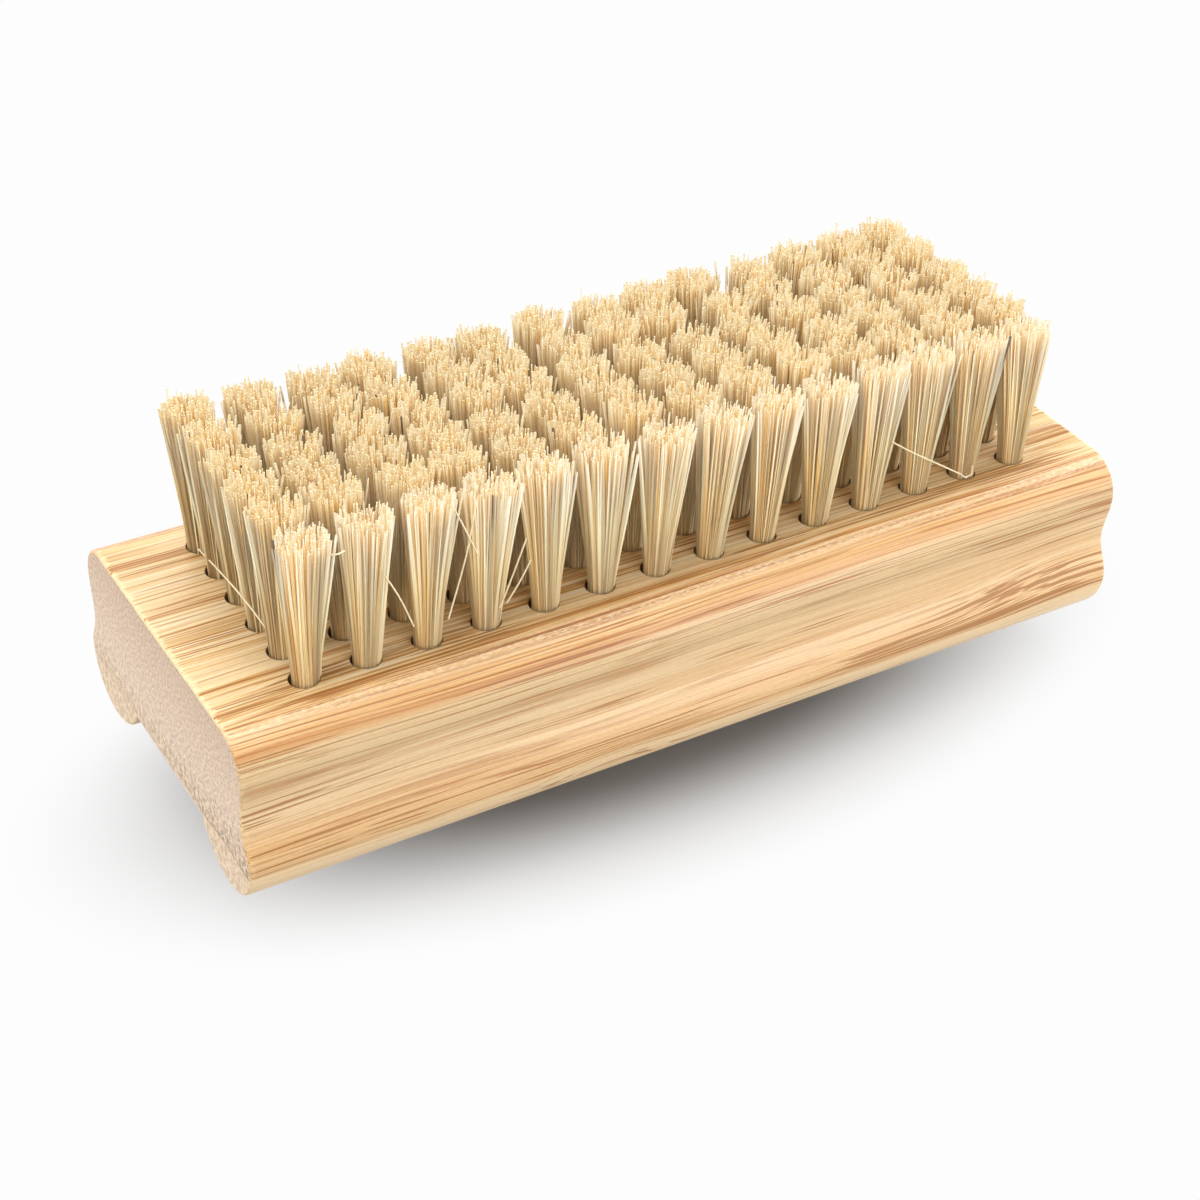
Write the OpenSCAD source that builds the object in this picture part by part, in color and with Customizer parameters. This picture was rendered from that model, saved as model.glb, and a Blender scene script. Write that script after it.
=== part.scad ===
// Two-sided nail brush: a bamboo block with finger grooves, drilled for fibre tufts above and below.
// X runs along the block, the front side faces -Y and the main bristles point up.
// The origin is on the surface that the brush stands on, under the middle of the block.

/* [Block] */
// Length of the block
block_l = 95; // [85:1:110]
// Width of the block across the bulges just above its lobes
block_w = 37.6; // [36:0.2:42]
// Height of the block from the lowest line of its lobes to its flat top
block_h = 18.2; // [17.6:0.2:22]
// Radius of the long top edges, which ends at the upper bulge of each side
top_edge_r = 4; // [3:0.1:5]
// How far each upper bulge stands in from the lower one
upper_inset = 0.8; // [0.2:0.1:1.4]
// Depth of each finger groove below the upper bulge
groove_depth = 0.6; // [0.2:0.1:1.2]

/* [Underside] */
// Outer radius of each lobe, from the lower bulge to the lobe's lowest line
lobe_outer_r = 5.2; // [4:0.1:5.6]
// Radius of each lobe's inner flank, which rises to the recess
lobe_inner_r = 6.5; // [5.5:0.1:7]
// Depth of the recess between the lobes
recess_depth = 3.6; // [2.6:0.1:4]
// How far the underside bristles stand out below the lobes
stand_h = 5; // [3:0.1:8]

/* [Holes] */
// Number of top holes along the block
top_cols = 14; // [8:1:15]
// Number of rows of top holes across the block
top_rows = 6; // [3:1:6]
// Distance from each end of the block to the first top hole
end_margin = 9; // [7:0.1:14]
// Distance from each long side of the block to the first row of top holes
side_margin = 7.4; // [7.2:0.1:8]
// Diameter of every tuft hole, across its flats
hole_d = 2.8; // [2.4:0.1:3]
// Depth of the top holes
top_hole_depth = 8; // [6:0.1:8.4]
// Depth of the underside holes
under_hole_depth = 5; // [4:0.1:5.2]
// Distance between the two rows of underside holes
under_row_gap = 6.8; // [5.8:0.1:8]

/* [Tufts] */
// Height of the top bristles over the block
top_bristle_h = 15.3; // [10:0.1:20]
// Width along the block of a top tuft at its tips
tip_w = 5; // [3.6:0.1:5.2]
// Width across the block of a top tuft at its tips
tip_d = 4.2; // [3.2:0.1:4.3]
// Least gap between the tips of neighbouring top tufts, which narrows them where it must
tip_gap = 0.3; // [0.1:0.1:0.3]
// Gap that opens between the strands of a tuft by its tips
strand_gap = 0.5; // [0.3:0.1:0.8]
// Clearance between the root of a tuft and the wall of its hole
root_clearance = 0.1; // [0.05:0.05:0.2]
// Thickness of the fold of fibre under each anchor
fold_t = 0.8; // [0.4:0.1:1.2]

/* [Anchors] */
// Thickness of the flat wire of an anchor
anchor_t = 0.3; // [0.2:0.05:0.4]
// Height of the flat wire of an anchor
anchor_h = 1.6; // [1:0.1:2.4]
// Clearance between an anchor and the fibre or the wood on each side
anchor_clearance = 0.05; // [0.02:0.01:0.1]

/* [Hidden] */
TOP_TUFTS = [for (row = [1:top_rows]) str("top_tufts_row_", row)];
TOP_ANCHORS = [for (row = [1:top_rows]) str("top_anchors_row_", row)];
UNDER_TUFTS = ["under_tufts_front_row", "under_tufts_back_row"];
UNDER_ANCHORS = ["under_anchors_front_row", "under_anchors_back_row"];

// One length by which every cutting shape runs past the face it cuts
overrun = 1;

// Counts of straight pieces in the curved stretches of the outline
flank_steps = 5;
lobe_steps = 6;
groove_steps = 12;
edge_steps = 6;

// Heights over the standing surface
lobe_z = stand_h;
recess_z = lobe_z + recess_depth;
block_top_z = lobe_z + block_h;

// Half widths of the outline at its turning points
lower_y = block_w / 2;
upper_y = lower_y - upper_inset;
groove_y = upper_y - groove_depth;
lobe_y = lower_y - lobe_outer_r;

// Heights of the turning points over the lowest line of the lobes
lower_z = lobe_outer_r;
upper_z = block_h - top_edge_r;
groove_z = (lower_z + upper_z) / 2;

// Angle at which the inner flank of a lobe meets the roof of the recess
flank_angle = acos((lobe_inner_r - recess_depth) / lobe_inner_r);

// Pitches and places of the holes
top_pitch_x = (block_l - 2 * end_margin) / (top_cols - 1);
top_pitch_y = (block_w - 2 * side_margin) / (top_rows - 1);
under_cols = top_cols - 1;
top_floor_z = block_top_z - top_hole_depth;
under_floor_z = recess_z + under_hole_depth;
under_bristle_h = recess_z;

// A tuft hole has twelve flat sides and measures its diameter across them
hole_sides = 12;
hole_corner_r = hole_d / 2 / cos(180 / hole_sides);

// The root of a tuft is a ten-sided bundle, slit for its anchor
root_r = hole_d / 2 - root_clearance;
slit_y = anchor_t / 2 + anchor_clearance;
slit_x = sqrt(root_r * root_r - slit_y * slit_y);
corner_angle = 50;
corner_x = root_r * cos(corner_angle);
corner_y = root_r * sin(corner_angle);
anchor_l = 2 * (sqrt(hole_d * hole_d / 4 - anchor_t * anchor_t / 4) - anchor_clearance);

// The tips of a top tuft stay clear of those of its neighbours
top_tip_w = min(tip_w, top_pitch_x - tip_gap);
top_tip_d = min(tip_d, top_pitch_y - tip_gap);

// An underside tuft splays at the same rate as a top one, over its shorter length
under_splay_share = under_bristle_h / top_bristle_h;
under_tip_w = 2 * root_r + (top_tip_w - 2 * root_r) * under_splay_share;
under_tip_d = 2 * root_r + (top_tip_d - 2 * root_r) * under_splay_share;

// Where the tip's outer corners lie, as shares of its half widths
tip_corner_share = 0.82;

function top_y(row) = (row - (top_rows + 1) / 2) * top_pitch_y;
function under_y(row) = (row - 3 / 2) * under_row_gap;

// Smooth step from 0 to 1
function ease(t) = (1 - cos(180 * t)) / 2;

// Outline of one half of the block from the middle of the recess round to the middle of the top
half_outline = concat(
    [for (i = [0:flank_steps])
        let (a = flank_angle * (1 - i / flank_steps))
        [lobe_y - lobe_inner_r * sin(a), lobe_inner_r * (1 - cos(a))]],
    [for (i = [1:lobe_steps])
        let (a = 90 * i / lobe_steps)
        [lobe_y + lobe_outer_r * sin(a), lobe_outer_r * (1 - cos(a))]],
    [for (i = [1:groove_steps])
        let (t = i / groove_steps)
        [lower_y + (groove_y - lower_y) * ease(t), lower_z + (groove_z - lower_z) * t]],
    [for (i = [1:groove_steps])
        let (t = i / groove_steps)
        [groove_y + (upper_y - groove_y) * ease(t), groove_z + (upper_z - groove_z) * t]],
    [for (i = [1:edge_steps])
        let (a = 90 * i / edge_steps)
        [upper_y - top_edge_r * (1 - cos(a)), upper_z + top_edge_r * sin(a)]]
);
outline_count = len(half_outline);
block_outline = concat(
    half_outline,
    [for (i = [outline_count - 1:-1:0]) [-half_outline[i][0], half_outline[i][1]]]
);

// Corner points of one tuft, in layers from the bottom of its hole up to the tips of its strands.
// Level is the height of the hole's mouth over its floor and reach that of the tips.
function level_ring(ring, z) = [for (p = ring) [p[0], p[1], z]];
root_ring = [
    [slit_x, slit_y], [corner_x, corner_y], [0, root_r], [-corner_x, corner_y], [-slit_x, slit_y],
    [-slit_x, -slit_y], [-corner_x, -corner_y], [0, -root_r], [corner_x, -corner_y], [slit_x, -slit_y]
];
slit_ring = [[slit_x, slit_y], [-slit_x, slit_y], [-slit_x, -slit_y], [slit_x, -slit_y]];
mid_ring = [[0, slit_y], [0, -slit_y]];

// Tip of the strand in the quarter of the plan that the signs kx and ky name
function strand_tip(kx, ky, w, d) =
    let (x = kx * w / 2, y = ky * d / 2, gx = kx * strand_gap / 2, gy = ky * strand_gap / 2)
    [[x, gy], [x * tip_corner_share, y * tip_corner_share], [gx, y], [gx, gy]];

function tuft_points(level, reach, w, d) = concat(
    level_ring(root_ring, 0),
    level_ring(slit_ring, fold_t),
    level_ring(root_ring, level),
    level_ring(mid_ring, level),
    level_ring(strand_tip(1, 1, w, d), reach),
    level_ring(strand_tip(-1, 1, w, d), reach),
    level_ring(strand_tip(-1, -1, w, d), reach),
    level_ring(strand_tip(1, -1, w, d), reach)
);

// Numbers of the first point of each layer
FLOOR = 0;
SLIT = FLOOR + len(root_ring);
MOUTH = SLIT + len(slit_ring);
MID = MOUTH + len(root_ring);
TIPS = MID + len(mid_ring);

// Triangles of the outer wall from one corner of the root to the next
function wall(i, j) = [[FLOOR + i, FLOOR + j, MOUTH + j], [FLOOR + i, MOUTH + j, MOUTH + i]];
function wall_from_slit(i, j, s) =
    [[FLOOR + i, FLOOR + j, SLIT + s], [SLIT + s, FLOOR + j, MOUTH + j], [SLIT + s, MOUTH + j, MOUTH + i]];
function wall_to_slit(i, j, s) =
    [[FLOOR + i, FLOOR + j, SLIT + s], [FLOOR + i, SLIT + s, MOUTH + i], [SLIT + s, MOUTH + j, MOUTH + i]];
function quad(a, b, c, d) = [[a, b, c], [a, c, d]];

// Triangles of one strand: base holds its corners at the mouth and tip its corners at the tips
function strand_faces(base, tip) = concat(
    [for (k = [0:3], f = quad(base[k], base[(k + 1) % 4], tip[(k + 1) % 4], tip[k])) f],
    quad(tip[0], tip[1], tip[2], tip[3])
);
function tip_numbers(n, order) = [for (k = order) TIPS + 4 * n + k];

tuft_faces = concat(
    [for (k = [1:len(root_ring) - 2]) [FLOOR, FLOOR + k + 1, FLOOR + k]],
    wall_from_slit(0, 1, 0), wall(1, 2), wall(2, 3), wall_to_slit(3, 4, 1),
    wall_from_slit(5, 6, 2), wall(6, 7), wall(7, 8), wall_to_slit(8, 9, 3),
    quad(FLOOR + 4, FLOOR + 5, SLIT + 2, SLIT + 1),
    quad(FLOOR + 9, FLOOR + 0, SLIT + 0, SLIT + 3),
    quad(SLIT + 0, SLIT + 1, SLIT + 2, SLIT + 3),
    [[SLIT + 1, SLIT + 0, MID], [SLIT + 0, MOUTH + 0, MID], [SLIT + 1, MID, MOUTH + 4]],
    [[SLIT + 3, SLIT + 2, MID + 1], [SLIT + 2, MOUTH + 5, MID + 1], [SLIT + 3, MID + 1, MOUTH + 9]],
    strand_faces([MOUTH + 0, MOUTH + 1, MOUTH + 2, MID], tip_numbers(0, [0, 1, 2, 3])),
    strand_faces([MID, MOUTH + 2, MOUTH + 3, MOUTH + 4], tip_numbers(1, [3, 2, 1, 0])),
    strand_faces([MOUTH + 5, MOUTH + 6, MOUTH + 7, MID + 1], tip_numbers(2, [0, 1, 2, 3])),
    strand_faces([MID + 1, MOUTH + 7, MOUTH + 8, MOUTH + 9], tip_numbers(3, [3, 2, 1, 0]))
);
outward_faces = [for (f = tuft_faces) [f[2], f[1], f[0]]];

module tuft(level, reach, w, d) {
    polyhedron(points = tuft_points(level, reach, w, d), faces = outward_faces);
}

module along_row(count) {
    for (col = [0:count - 1])
        translate([(col - (count - 1) / 2) * top_pitch_x, 0, 0])
            children();
}

module hole_row(count, depth) {
    along_row(count)
        translate([0, 0, -overrun])
            cylinder(h = depth + overrun, r = hole_corner_r, $fn = hole_sides);
}

module block() {
    color("burlywood")
        difference() {
            translate([0, 0, lobe_z])
                rotate([90, 0, 90])
                    linear_extrude(height = block_l, center = true)
                        polygon(block_outline);
            for (row = [1:top_rows])
                translate([0, top_y(row), block_top_z])
                    mirror([0, 0, 1])
                        hole_row(top_cols, top_hole_depth);
            for (row = [1:2])
                translate([0, under_y(row), recess_z])
                    hole_row(under_cols, under_hole_depth);
        }
}

module top_tufts(row) {
    color("wheat")
        translate([0, top_y(row), top_floor_z])
            along_row(top_cols)
                tuft(top_hole_depth, top_hole_depth + top_bristle_h, top_tip_w, top_tip_d);
}

module under_tufts(row) {
    color("wheat")
        translate([0, under_y(row), under_floor_z])
            mirror([0, 0, 1])
                along_row(under_cols)
                    tuft(under_hole_depth, under_hole_depth + under_bristle_h, under_tip_w, under_tip_d);
}

module anchor() {
    translate([-anchor_l / 2, -anchor_t / 2, fold_t])
        cube([anchor_l, anchor_t, anchor_h]);
}

module top_anchors(row) {
    color("silver")
        translate([0, top_y(row), top_floor_z])
            along_row(top_cols)
                anchor();
}

module under_anchors(row) {
    color("silver")
        translate([0, under_y(row), under_floor_z])
            mirror([0, 0, 1])
                along_row(under_cols)
                    anchor();
}

block();
for (row = [1:top_rows]) {
    top_tufts(row);
    top_anchors(row);
}
for (row = [1:2]) {
    under_tufts(row);
    under_anchors(row);
}
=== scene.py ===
import math

import bmesh
import bpy
from mathutils import Matrix, Vector


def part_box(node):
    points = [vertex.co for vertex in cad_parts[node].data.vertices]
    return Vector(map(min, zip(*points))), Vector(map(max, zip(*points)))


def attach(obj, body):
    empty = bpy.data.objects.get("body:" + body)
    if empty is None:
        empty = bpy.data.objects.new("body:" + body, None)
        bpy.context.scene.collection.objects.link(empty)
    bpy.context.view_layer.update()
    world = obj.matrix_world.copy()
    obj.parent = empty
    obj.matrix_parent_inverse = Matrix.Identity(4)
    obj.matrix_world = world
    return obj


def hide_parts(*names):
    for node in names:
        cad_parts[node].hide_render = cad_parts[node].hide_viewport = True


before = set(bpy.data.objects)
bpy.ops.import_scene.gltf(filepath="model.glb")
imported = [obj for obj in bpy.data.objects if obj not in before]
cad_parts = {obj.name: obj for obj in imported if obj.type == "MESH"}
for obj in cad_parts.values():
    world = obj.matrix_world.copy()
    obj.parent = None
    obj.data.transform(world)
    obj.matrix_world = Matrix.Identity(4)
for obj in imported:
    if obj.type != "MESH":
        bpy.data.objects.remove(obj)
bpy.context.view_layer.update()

# The block
# One strip of laminated bamboo, moulded to an outline with two lobes below and a finger groove in
# each side, cut to length and eased at the cut ends. It is drilled for six rows of tufts above
# and two below.

MM = 0.001
block_lo, block_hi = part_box("block")
half_length = block_hi.x
half_width = block_hi.y
lobe_z = block_lo.z
top_z = block_hi.z

top_edge_radius = 4 * MM
upper_inset = 0.8 * MM
groove_depth = 0.6 * MM
lobe_outer_radius = 5.2 * MM
lobe_inner_radius = 6.5 * MM
recess_depth = 3.6 * MM
recess_z = lobe_z + recess_depth
end_ease = 0.3 * MM

top_columns = 14
top_rows = 6
under_columns = 13
under_rows = 2
end_margin = 9 * MM
side_margin = 7.4 * MM
top_pitch = (2 * half_length - 2 * end_margin) / (top_columns - 1)
row_pitch = (2 * half_width - 2 * side_margin) / (top_rows - 1)
under_row_gap = 6.8 * MM
hole_radius = 1.4 * MM
top_hole_depth = 8 * MM
under_hole_depth = 5 * MM


def block_outline():
    """Half outline from the recess round to the top, then its mirror image."""
    lobe_y = half_width - lobe_outer_radius
    lower = Vector((half_width, lobe_z + lobe_outer_radius))
    upper = Vector((half_width - upper_inset, top_z - top_edge_radius))
    groove = Vector((upper.x - groove_depth, (lower.y + upper.y) / 2))
    flank = math.acos((lobe_inner_radius - recess_depth) / lobe_inner_radius)
    half = []
    for step in range(13):
        a = flank * (1 - step / 12)
        half.append((lobe_y - lobe_inner_radius * math.sin(a),
                     lobe_z + lobe_inner_radius * (1 - math.cos(a))))
    for step in range(1, 17):
        a = math.pi / 2 * step / 16
        half.append((lobe_y + lobe_outer_radius * math.sin(a),
                     lobe_z + lobe_outer_radius * (1 - math.cos(a))))
    for start, end in ((lower, groove), (groove, upper)):
        for step in range(1, 15):
            t = step / 14
            half.append((start.x + (end.x - start.x) * (1 - math.cos(math.pi * t)) / 2,
                         start.y + (end.y - start.y) * t))
    for step in range(1, 17):
        a = math.pi / 2 * step / 16
        half.append((upper.x - top_edge_radius * (1 - math.cos(a)),
                     upper.y + top_edge_radius * math.sin(a)))
    return [Vector(p) for p in half] + [Vector((-y, z)) for y, z in reversed(half)]


def moved_in(outline, depth):
    """The outline with every point moved inwards, for an eased edge."""
    count = len(outline)
    made = []
    for i, point in enumerate(outline):
        along = (outline[(i + 1) % count] - outline[i - 1]).normalized()
        made.append(point + Vector((-along.y, along.x)) * depth)
    return made


def new_piece(name, mesh):
    piece = bpy.data.objects.new(name, mesh)
    bpy.context.scene.collection.objects.link(piece)
    return piece


def make_block_blank():
    """The block before it is drilled: rings of its outline, drawn in at both ends."""
    outline = block_outline()
    stations = []
    for end in (-1, 1):
        for step in range(4):
            a = math.pi / 2 * step / 3
            x = end * (half_length - end_ease * (1 - math.cos(a)))
            stations.append((x, moved_in(outline, end_ease * (1 - math.sin(a)))))
    stations.sort(key=lambda station: station[0])
    shape = bmesh.new()
    rings = [[shape.verts.new((x, y, z)) for y, z in ring] for x, ring in stations]
    count = len(outline)
    for near, far in zip(rings, rings[1:]):
        for i in range(count):
            j = (i + 1) % count
            shape.faces.new((near[i], near[j], far[j], far[i]))
    shape.faces.new(rings[0])
    shape.faces.new(list(reversed(rings[-1])))
    bmesh.ops.recalc_face_normals(shape, faces=shape.faces)
    mesh = bpy.data.meshes.new("bamboo_block")
    shape.to_mesh(mesh)
    shape.free()
    return new_piece("bamboo_block", mesh)


def make_drill(name, depth, sides=28):
    """A closed turned shape that leaves a tuft hole with a slightly broken mouth."""
    lip = 0.07 * MM
    over = 1 * MM
    profile = [(hole_radius, -depth), (hole_radius, -lip), (hole_radius + lip, 0),
               (hole_radius + lip, over)]
    shape = bmesh.new()
    rings = []
    for radius, z in profile:
        rings.append([shape.verts.new((radius * math.cos(2 * math.pi * k / sides),
                                       radius * math.sin(2 * math.pi * k / sides), z))
                      for k in range(sides)])
    for lower, upper in zip(rings, rings[1:]):
        for k in range(sides):
            j = (k + 1) % sides
            shape.faces.new((lower[k], lower[j], upper[j], upper[k]))
    shape.faces.new(list(reversed(rings[0])))
    shape.faces.new(rings[-1])
    mesh = bpy.data.meshes.new(name)
    shape.to_mesh(mesh)
    shape.free()
    return new_piece(name, mesh)


def place_node(tree, kind, inputs=None, **settings):
    """Adds a node. An input is a value or the output of another node."""
    made = tree.nodes.new(kind)
    for name, value in settings.items():
        setattr(made, name, value)
    for name, value in (inputs or {}).items():
        if isinstance(name, int):
            socket = made.inputs[name]
        else:
            socket = next(s for s in made.inputs if s.name == name and s.enabled)
        if isinstance(value, bpy.types.NodeSocket):
            tree.links.new(value, socket)
        else:
            socket.default_value = value
    return made


def out_of(node):
    """The output that the node's present type puts in use."""
    return next(s for s in node.outputs if s.enabled)


def maths(tree, operation, *terms, clamp=False):
    made = place_node(tree, "ShaderNodeMath", dict(enumerate(terms)), operation=operation)
    made.use_clamp = clamp
    return made.outputs[0]


def new_tree(name, kind, inputs, outputs):
    """A node group with named sockets, and its input and output nodes."""
    tree = bpy.data.node_groups.new(name, kind)
    for in_out, sockets in (("INPUT", inputs), ("OUTPUT", outputs)):
        for socket_name, socket_kind in sockets:
            tree.interface.new_socket(socket_name, in_out=in_out, socket_type=socket_kind)
    return tree, tree.nodes.new("NodeGroupInput"), tree.nodes.new("NodeGroupOutput")


def fit_tree(piece, tree, values):
    """Puts a Geometry Nodes tree on a piece with its inputs set by identifier."""
    modifier = piece.modifiers.new(tree.name, "NODES")
    modifier.node_group = tree
    for item in tree.interface.items_tree:
        if item.item_type == "SOCKET" and item.in_out == "INPUT" and item.name in values:
            modifier[item.identifier] = values[item.name]


def settle(piece):
    """Makes what the modifiers build the piece's own plain mesh."""
    graph = bpy.context.evaluated_depsgraph_get()
    mesh = bpy.data.meshes.new_from_object(
        piece.evaluated_get(graph), preserve_all_data_layers=True, depsgraph=graph)
    piece.modifiers.clear()
    piece.data = mesh


def drilling_tree():
    """Cuts a grid of drills out of a block, with the drills' mouths at one height."""
    tree, given, result = new_tree(
        "drilled_rows", "GeometryNodeTree",
        [("Block", "NodeSocketGeometry"), ("Drill", "NodeSocketObject"),
         ("Columns", "NodeSocketInt"), ("Rows", "NodeSocketInt"),
         ("Column Pitch", "NodeSocketFloat"), ("Row Pitch", "NodeSocketFloat"),
         ("Mouth Height", "NodeSocketFloat"), ("Turn", "NodeSocketFloat")],
        [("Block", "NodeSocketGeometry")])
    spans = []
    for count, pitch in (("Columns", "Column Pitch"), ("Rows", "Row Pitch")):
        gaps = maths(tree, "SUBTRACT", given.outputs[count], 1.0)
        spans.append(maths(tree, "MULTIPLY", gaps, given.outputs[pitch]))
    grid = place_node(tree, "GeometryNodeMeshGrid", {
        "Size X": spans[0], "Size Y": spans[1],
        "Vertices X": given.outputs["Columns"], "Vertices Y": given.outputs["Rows"]})
    height = place_node(tree, "ShaderNodeCombineXYZ", {"Z": given.outputs["Mouth Height"]})
    mouths = place_node(tree, "GeometryNodeTransform", {
        "Geometry": grid.outputs["Mesh"], "Translation": height.outputs[0]})
    drill = place_node(tree, "GeometryNodeObjectInfo", {"Object": given.outputs["Drill"]})
    turn = place_node(tree, "ShaderNodeCombineXYZ", {"X": given.outputs["Turn"]})
    drills = place_node(tree, "GeometryNodeInstanceOnPoints", {
        "Points": mouths.outputs[0], "Instance": drill.outputs["Geometry"],
        "Rotation": turn.outputs[0]})
    real = place_node(tree, "GeometryNodeRealizeInstances", {"Geometry": drills.outputs[0]})
    cut = place_node(tree, "GeometryNodeMeshBoolean", {
        "Mesh 1": given.outputs["Block"], "Mesh 2": real.outputs[0]},
        operation="DIFFERENCE", solver="EXACT")
    tree.links.new(cut.outputs["Mesh"], result.inputs["Block"])
    return tree


drilling = drilling_tree()
block = make_block_blank()
top_drill = make_drill("top_drill", top_hole_depth)
under_drill = make_drill("under_drill", under_hole_depth)
fit_tree(block, drilling, {
    "Drill": top_drill, "Columns": top_columns, "Rows": top_rows, "Column Pitch": top_pitch,
    "Row Pitch": row_pitch, "Mouth Height": top_z, "Turn": 0.0})
fit_tree(block, drilling, {
    "Drill": under_drill, "Columns": under_columns, "Rows": under_rows,
    "Column Pitch": top_pitch, "Row Pitch": under_row_gap, "Mouth Height": recess_z,
    "Turn": math.pi})
settle(block)
for drill in (top_drill, under_drill):
    bpy.data.objects.remove(drill)


def shade(red, green, blue):
    """A colour from its three display values of 0 to 255."""
    parts = []
    for value in (red, green, blue):
        share = value / 255
        parts.append(share / 12.92 if share <= 0.04045 else ((share + 0.055) / 1.055) ** 2.4)
    return (*parts, 1.0)


def tone_scale(tree, level, stops):
    """A colour ramp of (place, colour) stops, read at a level."""
    ramp = place_node(tree, "ShaderNodeValToRGB", {"Fac": level})
    points = ramp.color_ramp.elements
    while len(points) < len(stops):
        points.new(0.5)
    for point, (place, colour) in zip(points, stops):
        point.position = place
        point.color = colour
    return ramp.outputs["Color"]


def blend_colours(tree, share, first, second, blend_type="MIX"):
    made = place_node(tree, "ShaderNodeMix", data_type="RGBA", blend_type=blend_type)
    for name, value in (("Factor", share), ("A", first), ("B", second)):
        socket = next(s for s in made.inputs if s.name == name and s.enabled)
        if isinstance(value, bpy.types.NodeSocket):
            tree.links.new(value, socket)
        else:
            socket.default_value = value
    return out_of(made)


def ranged(tree, value, low, high, to_low=0.0, to_high=1.0):
    """A value brought from one range to another and kept inside it."""
    return place_node(tree, "ShaderNodeMapRange", {
        "Value": value, "From Min": low, "From Max": high,
        "To Min": to_low, "To Max": to_high}).outputs["Result"]


def stretched(tree, place, scale):
    """A place scaled along each axis, so that a noise read there is drawn out."""
    return place_node(tree, "ShaderNodeVectorMath", {0: place, 1: scale},
                      operation="MULTIPLY").outputs["Vector"]


def knot_lift(tree, place, centre, reach, lift):
    """How far the fibres of one layer are pushed up as they pass a node of the cane."""
    off = place_node(tree, "ShaderNodeVectorMath", {0: place, 1: centre}, operation="SUBTRACT")
    scaled = stretched(tree, off.outputs["Vector"], [1 / r for r in reach])
    away = place_node(tree, "ShaderNodeVectorMath", {0: scaled}, operation="LENGTH")
    near = place_node(tree, "ShaderNodeMapRange", {
        "Value": away.outputs["Value"], "From Min": 0.0, "From Max": 1.0,
        "To Min": lift, "To Max": 0.0}, interpolation_type="SMOOTHSTEP")
    return near.outputs["Result"]


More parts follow.
